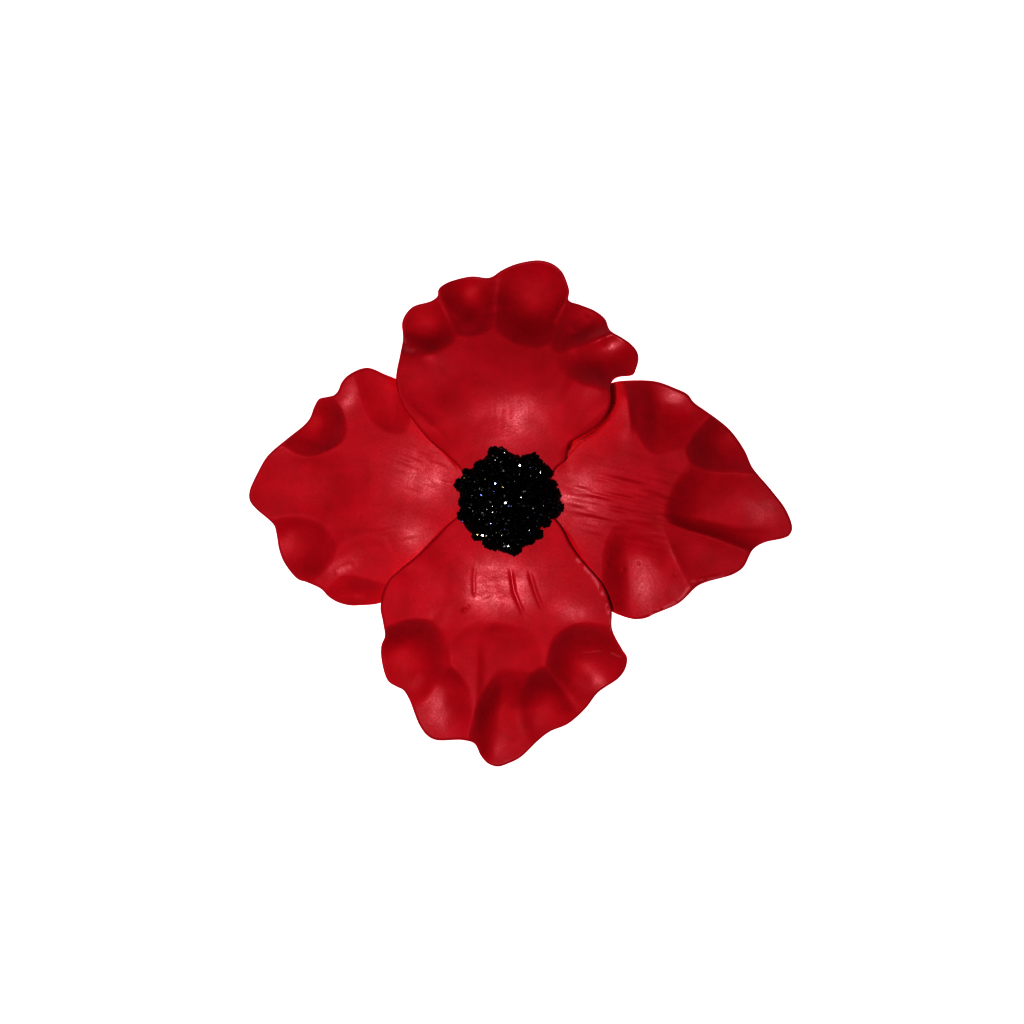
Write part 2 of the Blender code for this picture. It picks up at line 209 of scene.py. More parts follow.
def modellingPaste(look):
    # Coloured gum paste, rolled, thumbed into shape and air dried: satin, with a fine dry grain.
    made, shader = newMaterial("rolled red gum paste")
    links = made.node_tree.links
    place = addNode(made, "ShaderNodeTexCoord", {}, {}).outputs["Object"]
    perMetre = 1 / mm
    tone = addNode(made, "ShaderNodeTexNoise",
                   {"Scale": look["clouds"] * perMetre, "Detail": 6.0, "Roughness": 0.65},
                   {"Vector": place})
    body = colourRamp(made, tone.outputs["Fac"], [(0.35, srgb(look["deep"])), (0.65, srgb(look["full"]))])
    worn = addNode(made, "ShaderNodeAttribute", {"attribute_name": "worn"}, {})
    dusty = addNode(made, "ShaderNodeMix", {"data_type": "RGBA"}, {"Factor": worn.outputs["Fac"]})
    links.new(body.outputs["Color"], dusty.inputs[6])
    dusty.inputs[7].default_value = srgb(look["dusty"])
    links.new(dusty.outputs[2], shader.inputs["Base Color"])
    grain = addNode(made, "ShaderNodeTexNoise",
                    {"Scale": perMetre / look["grain"], "Detail": 3.0, "Roughness": 0.6}, {"Vector": place})
    skin = addNode(made, "ShaderNodeTexNoise",
                   {"Scale": perMetre / look["skin"], "Detail": 3.0, "Roughness": 0.55}, {"Vector": place})
    polish = addNode(made, "ShaderNodeAttribute", {"attribute_name": "polish"}, {})
    gloss = addNode(made, "ShaderNodeMapRange", {"To Min": look["satin"], "To Max": look["burnished"]},
                    {"Value": polish.outputs["Fac"]})
    dryness = addNode(made, "ShaderNodeMapRange",
                      {"From Min": 0.3, "From Max": 0.7, "To Min": -0.05, "To Max": 0.05},
                      {"Value": grain.outputs["Fac"]})
    uneven = addNode(made, "ShaderNodeMath", {"operation": "ADD"}, {})
    links.new(gloss.outputs["Result"], uneven.inputs[0])
    links.new(dryness.outputs["Result"], uneven.inputs[1])
    links.new(uneven.outputs["Value"], shader.inputs["Roughness"])
    waves = addNode(made, "ShaderNodeBump", {"Strength": 0.5, "Distance": look["waveDepth"] * mm},
                    {"Height": skin.outputs["Fac"]})
    pores = addNode(made, "ShaderNodeBump", {"Strength": 0.8, "Distance": look["poreDepth"] * mm},
                    {"Height": grain.outputs["Fac"], "Normal": waves.outputs["Normal"]})
    links.new(pores.outputs["Normal"], shader.inputs["Normal"])
    shader.inputs["IOR"].default_value = look["ior"]
    return made


crystalLook = {
    "body": "#050506", "ior": 1.5,
    "tints": {  # of the glints
        "black sanding sugar": "#ffffff",
        "black sanding sugar, bluish": "#a8b4ff",
        "black sanding sugar, straw": "#ffe9a8",
    },
    "smooth": 0.08, "frosted": 0.32,  # roughness of a clean face and of one with a film on it
    "film": 0.5,  # mm between the patches of film
}


def crystalGlass(name, tint):
    # Dyed sanding sugar: opaque black, broken crystal faces that throw small sharp glints.
    made, shader = newMaterial(name)
    place = addNode(made, "ShaderNodeTexCoord", {}, {}).outputs["Object"]
    film = addNode(made, "ShaderNodeTexNoise", {"Scale": 1 / (crystalLook["film"] * mm), "Detail": 2.0},
                   {"Vector": place})
    gloss = addNode(made, "ShaderNodeMapRange",
                    {"From Min": 0.35, "From Max": 0.65,
                     "To Min": crystalLook["smooth"], "To Max": crystalLook["frosted"]},
                    {"Value": film.outputs["Fac"]})
    made.node_tree.links.new(gloss.outputs["Result"], shader.inputs["Roughness"])
    shader.inputs["Base Color"].default_value = srgb(crystalLook["body"])
    shader.inputs["Specular Tint"].default_value = srgb(tint)
    shader.inputs["IOR"].default_value = crystalLook["ior"]
    return made


# Each petal has its place and heights, its edge, and then the marks of the hand on it. "climb" is how far
# it rises away from the heart and "climbOver" is where; "curl" is where the rim cups up again and how fast,
# and "pressOver" is where the presses set in. Places and sizes are in mm, headings in degrees.

topPetal = {
    "piece": "top_petal", "node": "petal_top", "middle": (0, 20),
    "rootThickness": 1.0, "thickness": 1.0, "seed": 21,
    "level": 6.5, "climb": 2.3, "climbOver": (6, 20), "curl": (29, 0.03), "pressOver": (9, 14),
    "outline": [
        (-8, 5.5), (-13, 10), (-15.5, 13), (-17.5, 16), (-18.6, 20), (-17.9, 24.5), (-17.5, 27),
        (-17.6, 30), (-16, 32.3), (-12.7, 33.4), (-11.7, 34.2), (-11.6, 35.2), (-10.5, 36.2),
        (-8.5, 37), (-6, 37.5), (-3, 37.3), (-1, 38.5), (1, 39.4), (3.5, 40), (5.5, 40.1),
        (7.5, 39.5), (9, 38.2), (9.8, 36.5), (10.2, 35), (10.1, 33.5), (12, 32.8), (14.5, 31.8),
        (16.2, 30.4), (17, 28.5), (19, 27.2), (20.3, 26.3), (21.4, 25), (21.7, 23.8), (21.3, 22),
        (20.8, 21), (18, 20.5), (17.1, 19.5), (17, 16), (16, 13.8), (14, 11.8), (12, 10.6),
        (10.2, 9.5), (9.6, 6.8), (8, 5.5), (6.8, 3.2), (5, 1.2), (2, 0.35), (-2, 0.35), (-5, 1.2),
        (-6.8, 3.2),
    ],
    "scoops": [  # deepest point, reach back, out, left, right, heading, depth, fade
        (-14.2, 29.4, 6.5, 8, 8, 7.5, 110, 3.4, 1.8), (-14.8, 18.6, 7, 11, 9, 9, 45, 1.8, 2),
        (-6.2, 34.2, 7.4, 9, 6.5, 7.2, 72, 4.2, 1.7), (4.2, 34.6, 9.6, 12, 9.2, 8.4, 85, 4.1, 1.7),
        (13.6, 31.2, 9.5, 11, 7, 6.8, 45, 4.2, 1.7), (17.4, 23.8, 10, 9, 6.2, 5.4, 5, 3.4, 1.8),
    ],
    "ridges": [  # path, height, width on its left and right
        ([(-11.7, 34.6), (-9.5, 32.4), (-7, 30.2), (-4.6, 29)], 0.7, 2.4, 1.5),
        ([(-2.2, 37.2), (-2, 34), (-1.6, 31.4)], 0.3, 1.95, 1.8),
        ([(-17.6, 17.4), (-14.6, 14.2), (-11.6, 11.4), (-8.8, 8.2)], 0.16, 0.7, 0.5),
        ([(9.9, 33.6), (8.6, 31.6), (7.2, 29.6)], 0.3, 0.75, 0.75),
        ([(9.5, 26.2), (13, 27), (16.4, 28.6)], 0.45, 1.2, 2.1),
        ([(9.5, 20.6), (12.5, 19.2), (16.3, 20)], 0.45, 1.5, 2.25),
        ([(-17.4, 28), (-15.6, 26), (-13.5, 24.8), (-11, 24.3)], 0.4, 1.5, 0.9),
        ([(13.8, 31.4), (12.2, 29.8), (10.2, 28)], 0.3, 0.75, 1.05),
    ],
    "bumps": [  # place, height, width
        (-8.6, 25, 0.07, 0.2), (-14.2, 15.4, 0.08, 0.25), (4.3, 17.5, 0.06, 0.2),
        (10.5, 23.7, 0.06, 0.2), (-5.4, 20.8, 0.05, 0.3),
    ],
    "polish": [  # place, across, along, turn, strength
        (1, 13, 7, 6, 0, 1), (5, 38.5, 5, 2.6, 0, 0.8), (17.4, 26.4, 5, 2.8, -15, 1.4),
        (-6.3, 36.4, 4, 1.8, 0, 0.7), (-12, 22.8, 3.5, 2.2, -20, 0.5), (12, 18.4, 6, 2.4, 5, 0.5),
    ],
    "worn": [  # path, width, strength
        ([(-17.3, 26.8), (-16.9, 25.2), (-15.8, 25)], 0.4, 0.5),
    ],
    "wrinkles": [  # middle, across, along, their heading, width, length, height, seed
        ((-1, 22), 16, 14, 88, 0.7, 7, 0.05, 71),
    ],
    "folds": [  # side edges folded down past a line: its ends, slope
        ((-8.5, 7.4), (-17.4, 16.2), 0.4), ((11.6, 11.1), (7.2, 6.8), 0.6),
    ],
    "tucks": [],
    "swells": [  # height, side of the heart, where it sets in sideways and outwards, and where it dies away
        (2.0, 1, (6, 17.5), (7, 15), (20, 31)), (0.9, -1, (7, 15), (8, 14), (20, 28)),
    ],
    "droop": (0.22, 16),  # slope of the outer half, and from where
}


def topHeight(x, y):
    return thumbedSheet(x, y, topPetal) + upperForm(x, y, topPetal)


bottomPetal = {
    "piece": "bottom_petal", "node": "petal_bottom", "middle": (-1, -22),
    "rootThickness": 1.0, "thickness": 1.0, "seed": 31,
    "level": 6.5, "climb": 1.0, "climbOver": (6, 21), "curl": (33, 0.008), "pressOver": (9, 13),
    "outline": [
        (-9.5, -3.5), (-12, -6), (-15, -9), (-18, -11.5), (-20, -13.5), (-21.2, -17.5), (-20.8, -20),
        (-20.5, -22.5), (-21.1, -24), (-21.1, -26.5), (-20, -30), (-18.5, -31), (-17.5, -31.5),
        (-16.5, -33), (-14.8, -37.2), (-13.5, -39), (-12, -39.8), (-7.5, -39.8), (-5.6, -40.4),
        (-4.5, -42.5), (-3.3, -43.8), (-1.7, -44.3), (0, -43.8), (2, -42.8), (5, -40), (7, -38.5),
        (10, -37.2), (13, -34.5), (15, -32), (18.5, -29.5), (19.6, -27.8), (19.8, -26), (19, -24.7),
        (17.3, -21.3), (17.2, -18), (15.8, -14), (14.2, -12), (12, -9.5), (10.3, -7), (9, -4.5),
        (8.3, -3.5), (6.5, -1.8), (4, -0.6), (1, -0.35), (-3, -0.35), (-6.5, -1.5),
    ],
    "scoops": [  # deepest point, reach back, out, left, right, heading, depth, fade
        (-22, -15, 12, 8, 9, 7, 190, 1.9, 2), (-17.2, -25.4, 7, 14, 10, 6.6, 228, 4.4, 1.5),
        (-11.5, -31, 4.5, 18, 6.8, 7.5, 252, 2, 1.4), (-1.2, -35.2, 9.5, 22, 9.5, 4.6, 266, 4.4, 1.6),
        (6.6, -33.8, 6.4, 14, 7.2, 9.5, 290, 5, 1.4), (13.2, -26.8, 7, 16, 7.6, 7, 292, 4.4, 1.4),
        (-1.5, -27, 7.5, 10, 7, 8, 270, 1.3, 1.6),
    ],
    "ridges": [  # path, height, width on its left and right
        ([(-5.6, -40.2), (-5.5, -34), (-5.2, -28), (-5.3, -22)], 0.45, 2.4, 0.9),
        ([(-17.4, -31.4), (-14.6, -28.6), (-11.3, -27.2), (-8.6, -28.2), (-6.6, -30.6)], 0.3, 1.2, 1.05),
        ([(-20.6, -21.2), (-17, -20.4), (-13, -20), (-10.3, -21.4), (-9.2, -24)], 0.15, 1.35, 1.2),
        ([(6.2, -22.2), (8, -20.7), (11, -20), (14, -20.8), (16.6, -22.6), (18.6, -24.8)], 0.15, 1.8, 1.05),
        ([(14, -31.3), (12, -29.6), (9.5, -28.3), (6.5, -27.8), (4.2, -29.5)], 0.2, 1.05, 2.1),
        ([(-4.8, -21), (-2, -20.4), (1, -20.6), (2.8, -22)], 0.2, 0.9, 0.9),
        ([(0.3, -10.5), (1, -15), (3, -20)], -0.2, 0.35, 0.35),
        ([(3.3, -11), (4.5, -15), (6, -18.8)], -0.2, 0.35, 0.35),
        ([(-5.4, -10), (-5.7, -13), (-5.6, -16.5)], -0.1, 0.3, 0.3),
        ([(12.5, -25.4), (15.4, -25)], 0.06, 0.15, 0.15),
        ([(17.3, -25.4), (18.9, -26)], 0.06, 0.15, 0.15),
    ],
    "bumps": [  # place, height, width
        (-7.2, -18.2, -0.22, 0.4), (-6.6, -17.6, 0.1, 0.3), (-2.6, -35.4, 0.1, 0.25),
        (-16.8, -22.6, 0.08, 0.2),
    ],
    "polish": [  # place, across, along, turn, strength
        (-2, -14, 8, 5, 0, 1.5), (-11, -34, 5.6, 6.4, 0, 0.95), (-1, -42, 4, 3, 0, 0.8),
        (14, -29.8, 5, 2.4, -30, 0.9), (11, -18.4, 5, 2.6, -15, 0.8), (-11, -19.4, 3, 2, 35, 0.8),
        (4, -38, 2.2, 3.5, 0, 0.7),
    ],
    "worn": [  # path, width, strength
        ([(11.5, -9.7), (14.4, -12.9), (15.8, -15.6), (16.8, -18.5), (16.9, -21.3)], 0.28, 1.0),
        ([(12.5, -25.4), (15.4, -25)], 0.12, 0.5),
        ([(17.3, -25.4), (18.9, -26)], 0.14, 0.8),
    ],
    "wrinkles": [  # middle, across, along, their heading, width, length, height, seed
        ((2, -15), 9, 12, 97, 0.9, 10, 0.018, 82), ((-4, -15), 8, 9, 25, 0.5, 1.2, 0.02, 83),
    ],
    "folds": [  # side edges folded down past a line: its ends, slope
        ((-19.5, -12.2), (-11.3, -6.3), 0.3),
    ],
    "tucks": [],
    "swells": [  # height, side of the heart, where it sets in sideways and outwards, and where it dies away
        (1.7, -1, (6, 17), (6, 12), (17, 25)),
    ],
    "droop": (0.05, 18),  # slope of the outer half, and from where
}


def bottomHeight(x, y):
    return thumbedSheet(x, y, bottomPetal) + upperForm(x, -y, bottomPetal)


leftPetal = {
    "piece": "left_petal", "node": "petal_left", "middle": (-22, 2),
    "rootThickness": 5.2, "thickness": 1.0, "seed": 41,
    "level": 5.2, "climb": 0.9, "climbOver": (6, 23), "curl": (27, 0.008), "pressOver": (9, 13),
    "outline": [
        (-19.2, 20.6), (-20.5, 21.1), (-23.5, 22.2), (-26.5, 21), (-27.7, 19.7), (-28.3, 18.3),
        (-29, 17.6), (-30.3, 17.3), (-31.5, 17), (-32.3, 15.8), (-33.3, 13.5), (-37, 10.2),
        (-40, 7.5), (-41.5, 5), (-43, 1.5), (-42.9, 0), (-42, -1.2), (-39, -4), (-38.6, -5.5),
        (-38.2, -8), (-37.3, -10.3), (-35, -13), (-33.5, -13.5), (-31, -14.7), (-30, -15.8),
        (-28.5, -16.8), (-26.5, -17.4), (-24.5, -17.4), (-21.3, -17), (-19, -15.6), (-16.5, -12.5),
        (-13, -9), (-9, -6.8), (-5, -6), (-1, -5.8), (1.6, -3.6), (2.2, 0), (1.6, 3.6), (-1, 5.8),
        (-5, 6.2), (-9, 8.5), (-12, 12), (-15, 17), (-17, 19.6),
    ],
    "scoops": [  # deepest point, reach back, out, left, right, heading, depth, fade
        (-19.5, 19, 8, 12, 5.2, 4, 100, 1.6, 1.3), (-31.6, 13.2, 5.8, 12, 7, 4.3, 140, 4, 1.4),
        (-35, 1.5, 13, 14, 12, 12, 180, 2, 2), (-36.4, -7.2, 8.5, 26, 7.4, 6, 205, 3.4, 1.5),
        (-24.8, -17, 4.6, 12, 7.6, 6.6, 268, 2.8, 1.4),
    ],
    "ridges": [  # path, height, width on its left and right
        ([(-28.7, 17.6), (-27.4, 15.2), (-26.8, 12)], 0.12, 1.5, 0.9),
        ([(-37.2, 9.8), (-33, 9), (-31, 7.9), (-28.2, 8.8), (-27, 11)], 0.35, 0.9, 1.8),
        ([(-38.8, -3.8), (-35, -3), (-31, -3.6), (-28.8, -5.6)], 0.15, 2.25, 1.05),
        ([(-30, -10.6), (-28.6, -8.2), (-26.6, -6.5), (-23.6, -5.6), (-20.6, -6.4), (-19.2, -9.8)],
         0.3, 1.2, 1.2),
        ([(-33.6, -13.2), (-31, -11), (-29.6, -9.6)], 0.15, 1.2, 1.2),
        ([(-29.4, -12), (-27.4, -11.3), (-25.4, -10.2)], 0.16, 0.9, 1.1),
        ([(-28.4, -16.2), (-24.6, -16.4), (-21.3, -15)], 0.3, 0.75, 0.75),
        ([(-11.4, 3.3), (-9, 2.7)], 0.08, 0.15, 0.15),
    ],
    "bumps": [  # place, height, width
        (-27.8, -14.2, 0.16, 0.3), (-33.4, -11.6, 0.1, 0.25), (-30.8, 10.1, 0.08, 0.25),
        (-27.3, -5.4, 0.06, 0.5), (-24.7, -2.5, -0.08, 0.3),
    ],
    "polish": [  # place, across, along, turn, strength
        (-13.5, 4.5, 7, 6.5, 0, 0.95), (-26.4, 17.3, 1.6, 3.4, -20, 0.9), (-27.6, -11, 3, 1.6, 25, 0.9),
        (-37.4, -6.5, 2.4, 4.5, 10, 0.5), (-37, 9, 3, 2, 0, 0.4), (-15, -6, 6, 4, -30, 0.8),
    ],
    "worn": [  # path, width, strength
        ([(-11.4, 3.3), (-9, 2.7)], 0.14, 0.7),
    ],
    "wrinkles": [  # middle, across, along, their heading, width, length, height, seed
        ((-14.5, 6), 7, 7, -20, 0.7, 2.2, 0.09, 74), ((-17, -4), 10, 8, 12, 0.8, 4, 0.07, 75),
    ],
    "folds": [],
    "tucks": [  # edges that go under an upper petal past a line: its ends, fall
        ((-20, 21), (-8, 5.5), 2.3), ((-8.6, -3.0), (-21, -16.5), 3.4),
    ],
}


def leftHeight(x, y):
    return thumbedSheet(x, y, leftPetal)


rightPetal = {
    "piece": "right_petal", "node": "petal_right", "middle": (24, 1),
    "rootThickness": 5.2, "thickness": 1.0, "seed": 51,
    "level": 5.2, "climb": 1.0, "climbOver": (6, 23), "curl": (30, 0.006), "pressOver": (9, 13),
    "outline": [
        (19, 20), (24.5, 20), (28, 18.8), (30, 17.8), (31, 16.5), (33, 15), (37, 12), (39.5, 8.5),
        (40.8, 5.5), (43.7, 2), (46.3, -1.5), (47.3, -4.5), (46.8, -5.7), (45.8, -6.2), (43, -6.8),
        (41.5, -7.5), (40.6, -8.3), (39.2, -11), (37.5, -12.2), (33, -13.5), (31.5, -14.2),
        (28.5, -17), (24.5, -18.8), (23, -19.5), (21, -19.7), (18.3, -18.9), (16, -17.5),
        (14, -14.5), (11, -10.5), (8, -7.8), (5.4, -6.3), (3.4, -3.6), (2.8, 0), (3.4, 3.6),
        (5.4, 6.3), (8, 7.8), (11, 10.5), (13.5, 14.5), (15.5, 18.2), (17, 19.6),
    ],
    "scoops": [  # deepest point, reach back, out, left, right, heading, depth, fade
        (25.2, 16.5, 8.5, 20, 5.2, 13, 86, 3.4, 1.4),
        (37.2, 10.4, 8.6, 16, 6.2, 7.4, 26, 5, 1.35), (33.6, -3.2, 7.8, 24, 11, 3.2, -12, 3.5, 1.7),
        (34, -9.8, 10, 12, 5.6, 7.5, -30, 1.4, 1.7), (19.8, -11, 8.5, 34, 10, 4.6, -84, 2.4, 1.6),
    ],
    "ridges": [  # path, height, width on its left and right
        ([(19.9, 19.4), (20.1, 14), (20.3, 10)], 0.4, 0.75, 1.8),
        ([(30.7, 17.6), (30.5, 14), (30.2, 10.5)], 0.1, 0.9, 2.4),
        ([(30.2, 4.9), (34, 4.6), (37.5, 5.2), (40.4, 6)], 0.12, 0.75, 2.1),
        ([(29, -3), (33, -4.4), (38, -5.3), (43, -5.7), (46.4, -5.9)], 0.3, 0.9, 1.95),
        ([(24.8, -6.8), (27.4, -9.8), (30, -12.6)], 0.06, 1.05, 1.8),
        ([(30.6, -13.3), (33, -12.9), (36, -12.4)], 0.2, 0.3, 0.3),
    ],
    "bumps": [  # place, height, width
        (16.5, -10.7, 0.16, 0.3), (19.2, -11.5, 0.16, 0.3), (17, -9.5, 0.12, 0.25),
        (27.8, -12.3, 0.12, 0.25), (30.2, 5, 0.1, 0.35), (21.8, -10.4, 0.12, 0.25), (18.4, -1.3, 0.08, 0.3),
    ],
    "polish": [  # place, across, along, turn, strength
        (12, 1, 6, 8, 0, 0.95), (27.8, 15.6, 3, 5, 8, 1.3), (22.6, -12.5, 5, 8.5, -5, 0.8),
        (24.5, -9.5, 4, 3.6, -35, 1.2), (42, -0.8, 4.6, 3, -45, 0.9), (28.6, -15, 2.6, 2.6, 0, 0.6),
        (19.4, 13, 1.4, 5, 0, 0.7),
    ],
    "worn": [  # path, width, strength
        ([(30, -14.4), (29.2, -15.8), (27.4, -17.2), (25, -18.3), (23.8, -19)], 0.25, 0.9),
        ([(30.6, -13.4), (33, -13.1), (36, -12.5)], 0.2, 0.6),
    ],
    "wrinkles": [  # middle, across, along, their heading, width, length, height, seed
        ((20, 1.5), 15, 11, -15, 1.1, 7, 0.22, 76), ((20, -1), 14, 10, -12, 0.55, 4, 0.16, 77),
    ],
    "folds": [],
    "tucks": [  # edges that go under an upper petal past a line: its ends, fall
        ((17.5, -19), (8.5, -3.5), 2.4),
    ],
    "topEdge": [  # it steps down along this line, close under the top petal
        (7.5, 4.4), (10.5, 7.3), (12.1, 9.2), (15, 10.9), (17.5, 13.4), (18.7, 16), (18.9, 21),
    ],
    "step": (2.7, 0.5),  # mm that it falls steeply there, and gently on the way to it
}


def rightHeight(x, y):
    underTop = alongPath(x, y, rightPetal["topEdge"])[0]
    steep, gentle = rightPetal["step"]
    fall = steep * rise(0.4, 1.2, underTop) + gentle * rise(-5, 0.4, underTop)
    return thumbedSheet(x, y, rightPetal) - rise(9, 12, np.hypot(x, y)) * fall


def thumbedSheet(x, y, petal):  # the height of a petal's upper face
    radius = np.hypot(x, y)
    z = petal["level"] + petal["climb"] * rise(*petal["climbOver"], radius)
    z = z + curledRim(radius, *petal["curl"])
    z = z - rise(*petal["pressOver"], radius) * pressed(x, y, petal["scoops"], petal["seed"])
    z = z + fineRelief(x, y, petal)
    for middle, across, along, heading, width, length, height, seed in petal["wrinkles"]:
        z = z + height * patch(x, y, middle, across, along) * drawnLines(x, y, heading, width, length, seed)
    for start, end, slope in petal["folds"]:
        z = z - turnedEdge(x, y, start, end, slope)
    for start, end, fall in petal["tucks"]:
        z = z - tuckedEdge(x, y, start, end, fall)
    return z


def upperForm(x, outwards, petal):  # what an upper petal adds: swells beside the heart, then a droop
    slope, start = petal["droop"]
    z = -slope * softPositive(outwards - start, 2.5)
    for height, side, sideways, onset, end in petal["swells"]:
        z = z + height * rise(*sideways, side * x) * rise(*onset, outwards) * (1 - rise(*end, outwards))
    return z


def curledRim(radius, start, bend):  # the outer part cups up again, ever steeper
    return bend * softPositive(radius - start, 1.0) ** 2


def turnedEdge(x, y, start, end, slope):  # the fall of a side edge folded down past a line
    outside = rise(9.8, 13.5, np.hypot(x, y))
    return outside * slope * softPositive(pastLine(x, y, start, end), 0.2)


def tuckedEdge(x, y, start, end, fall):  # the fall of an edge that goes under an upper petal
    outside = rise(9, 12, np.hypot(x, y))
    return outside * fall * rise(-0.8, 2.4, pastLine(x, y, start, end))


def fineRelief(x, y, petal):  # crests and creases, pimples and the unevenness of handwork
    z = 0.10 * smoothNoise(x, y, 4.5, 61) + 0.035 * smoothNoise(x, y, 1.7, 62)
    for path, height, left, right in petal["ridges"]:
        z = z + pathRidge(x, y, path, height, left, right)
    for bx, by, height, width in petal["bumps"]:
        z = z + height * np.exp(-((x - bx) ** 2 + (y - by) ** 2) / width**2)
    return z * rise(8.5, 11, np.hypot(x, y))


def drawnLines(x, y, heading, width, length, seed):  # long soft wrinkles running one way
    u, v = turned(x, y, (0, 0), heading)
    return smoothNoise(u * width / length, v, width, seed)


def patch(x, y, middle, across, along):  # 1 in the middle of an oval, fading to 0 at its edge
    return rise(0, 1, 1 - np.hypot((x - middle[0]) / across, (y - middle[1]) / along))


petalMesh = {
    "sectors": 420,  # round the rim
    "rings": 96,  # from the middle to the rim, on each face
    "rimRings": 6,  # of them, those that round the rim off
    "rimDepth": 0.5,  # mm that the rounding reaches in
    "rootEnds": (7, 14),  # mm from the heart, where a thick root thins to the blade
}


def pressPetal(petal, height, look):
    # A ball of paste flattened: its poles are the petal's middles, its equator is the rim.
    sectors = petalMesh["sectors"]
    rings = petalMesh["rings"]
    shape = bmesh.new()
    bmesh.ops.create_uvsphere(shape, u_segments=sectors, v_segments=2 * rings, radius=1)
    shape.verts.ensure_lookup_table()
    ball = np.array([vert.co for vert in shape.verts])
    fromTop = np.rint(np.arccos(np.clip(ball[:, 2], -1, 1)) / (math.pi / (2 * rings))).astype(int)
    sector = np.rint(np.arctan2(ball[:, 1], ball[:, 0]) / (math.tau / sectors)).astype(int) % sectors
    ring = np.where(fromTop > rings, 2 * rings - fromTop, fromTop)
    middle = np.array(petal["middle"])
    rim = smoothOutline(petal["outline"], sectors)
    tangent = np.roll(rim, -1, 0) - np.roll(rim, 1, 0)
    ray = middle - rim
    reach = np.hypot(*ray.T)
    square = (ray[:, 1] * tangent[:, 0] - ray[:, 0] * tangent[:, 1]) / np.hypot(*tangent.T) / reach
    edgeSteps = petalMesh["rimRings"]
    inner = rings - edgeSteps
    angle = np.clip((rings - ring) / edgeSteps, 0, 1) * math.pi / 2
    inset = petalMesh["rimDepth"] * (1 - np.cos(angle)) / np.clip(square[sector], 0.4, 1)
    share = (1 - np.clip(ring / inner, 0, 1)) * (1 - petalMesh["rimDepth"] / reach[sector])
    flat = rim[sector] + ray[sector] / reach[sector, None] * inset[:, None]
    flat = flat + (middle - flat) * share[:, None]
    x, y = flat.T
    top = height(x, y)
    radius = np.hypot(x, y)
    spare = petal["rootThickness"] - petal["thickness"]
    thick = petal["rootThickness"] - spare * rise(*petalMesh["rootEnds"], radius)
    rounding = np.minimum(thick / 2, petalMesh["rimDepth"]) * (1 - np.sin(angle))
    z = np.where(fromTop <= rings, top - rounding, top - thick + rounding)
    z = np.where(fromTop == rings, top - thick / 2, z)
    mesh = bpy.data.meshes.new(petal["piece"])
    shape.to_mesh(mesh)
    shape.free()
    mesh.vertices.foreach_set("co", (np.column_stack([x, y, z]) * mm).ravel())
    mesh.update()
    mesh.shade_smooth()
    mesh.materials.append(look)
    polish = np.zeros(len(x))
    for px, py, across, along, turn, strength in petal["polish"]:
        u, v = turned(x, y, (px, py), turn)
        polish = np.maximum(polish, strength * np.exp(-1.3 * ((u / across) ** 2 + (v / along) ** 2)))
    polish = polish * (1 + 0.25 * smoothNoise(x, y, 2.2, 82))
    chips = rise(0.1, 0.5, 0.5 + smoothNoise(x, y, 0.6, 81))
    worn = np.zeros(len(x))
    for path, width, strength in petal["worn"]:
        worn = worn + strength * chips * np.exp(-((alongPath(x, y, path)[0] / width) ** 2))
    for name, amount in (("worn", worn), ("polish", polish)):
        mesh.attributes.new(name, "FLOAT", "POINT").data.foreach_set("value", amount)
    made = bpy.data.objects.new(petal["piece"], mesh)
    bpy.context.scene.collection.objects.link(made)
    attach(made, "root")
    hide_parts(petal["node"])
    print("pressed", petal["piece"], len(mesh.polygons), "faces")


paste = modellingPaste(pasteLook)
pressPetal(leftPetal, leftHeight, paste)
pressPetal(rightPetal, rightHeight, paste)
pressPetal(topPetal, topHeight, paste)
pressPetal(bottomPetal, bottomHeight, paste)


mound = {
    "outline": [
        (9.2, 0.4), (9.5, -1.2), (9.2, -3), (7.4, -3.6), (6.2, -4.8), (5.7, -6.4), (4, -7.8),
        (1.8, -9.1), (-0.5, -9.6), (-2.6, -8.4), (-5, -7.1), (-7, -5.8), (-8.3, -4), (-8.6, -1),
        (-8.9, 1), (-8.8, 3), (-7.6, 5.2), (-5, 7.3), (-3.2, 8.9), (0, 9.1), (2, 8.2), (5.5, 7.8),
        (7.3, 5.7), (8.1, 2.2),
    ],
    "foot": 6.9, "lowFoot": 5.6, "height": 3.5,  # mm
    "core": (0.9, 0.5),  # mm that the plain heap inside stays within the rim and below the top
    "lumps": 120, "lump": (0.8, 1.15),  # clots of crystals, and their radius in mm
    "grains": 26, "grain": (0.2, 0.38),  # crystals on each clot, and their radius in mm
    "dyes": (0, 0, 0, 1, 2),  # which of the glint tints a crystal draws from
    "seed": 11,  # for another heap of the same kind
}


def heapLevel(share):  # the heap's height, from its middle (0) to its rim (1)
    return mound["foot"] + mound["height"] * math.sqrt(max(0.0, 1.06 - share * share))


def footLevel(x, y):  # the heap spills a little lower onto the left and right petals
    return mound["lowFoot"] if abs(x) > 7.9 and abs(y) < 2.6 else mound["foot"]


# One broken crystal, or a clot's core: a rough ball stretched by up to a quarter and turned at random.
def addBody(shape, place, size, rounds, rough, slot, draw):
    spin = Euler([draw.uniform(0, math.tau) for _ in range(3)]).to_matrix().to_4x4()
    stretch = Matrix.Diagonal([draw.uniform(0.75, 1.25) for _ in range(3)] + [1])
    where = Matrix.Translation(place) @ spin @ stretch
    made = bmesh.ops.create_icosphere(shape, subdivisions=rounds, radius=size, matrix=where)
    for vert in made["verts"]:
        vert.co += Vector([draw.uniform(-rough, rough) * size for _ in range(3)])
        vert.co.z = max(vert.co.z, footLevel(vert.co.x, vert.co.y))
        for face in vert.link_faces:
            face.material_index = slot


